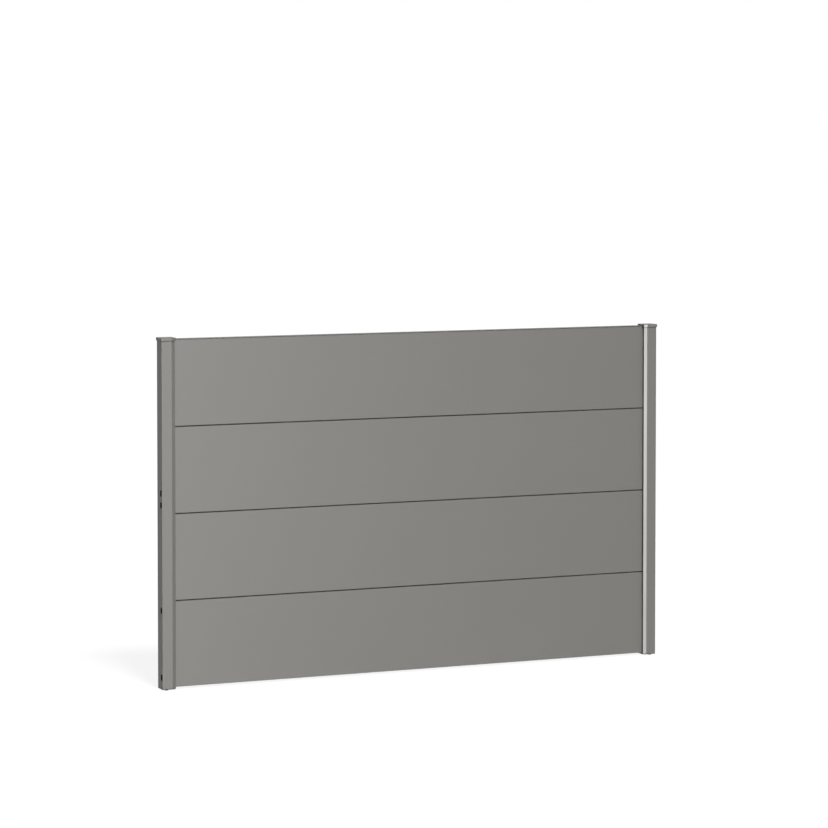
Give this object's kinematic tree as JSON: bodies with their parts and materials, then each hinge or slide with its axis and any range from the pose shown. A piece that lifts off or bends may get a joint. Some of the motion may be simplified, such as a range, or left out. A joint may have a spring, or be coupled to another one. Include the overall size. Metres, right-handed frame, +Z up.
{
  "type": "privacy screen panel",
  "caption": "Upright privacy screen panel: wide flat horizontal planks with thin shadow seams, held between two square posts with shallow caps.",
  "frame": {"origin": "middle of the panel at ground level, between the feet of the two base plugs", "axes": "+X along the panel to the right as seen from the front, -Y out of the front, +Z up"},
  "size_m": [1.492, 0.044, 0.9505],
  "materials": {
    "coated_metal": "satin powder coat, warm grey metallic",
    "coated_cap": "satin powder coat on a casting, warm grey",
    "dark_plastic": "matt, extruded",
    "grey_plastic": "matt, moulded",
    "black_rubber": "matt, extruded",
    "screw_steel": "stainless, plain"
  },
  "bodies": {
    "root": {"base_screws": "screw_steel", "bottom_strip": "dark_plastic", "joint_strip_1": "dark_plastic", "joint_strip_2": "dark_plastic", "joint_strip_3": "dark_plastic", "left_base_plug": "grey_plastic", "left_cap": "coated_cap", "left_front_gasket": "black_rubber", "left_pad": "black_rubber", "left_post": "coated_metal", "left_rear_gasket": "black_rubber", "plank_1": "coated_metal", "plank_2": "coated_metal", "plank_3": "coated_metal", "plank_4": "coated_metal", "right_base_plug": "grey_plastic", "right_cap": "coated_cap", "right_front_gasket": "black_rubber", "right_pad": "black_rubber", "right_post": "coated_metal", "right_rear_gasket": "black_rubber", "top_strip": "coated_metal"}
  },
  "joints": []
}
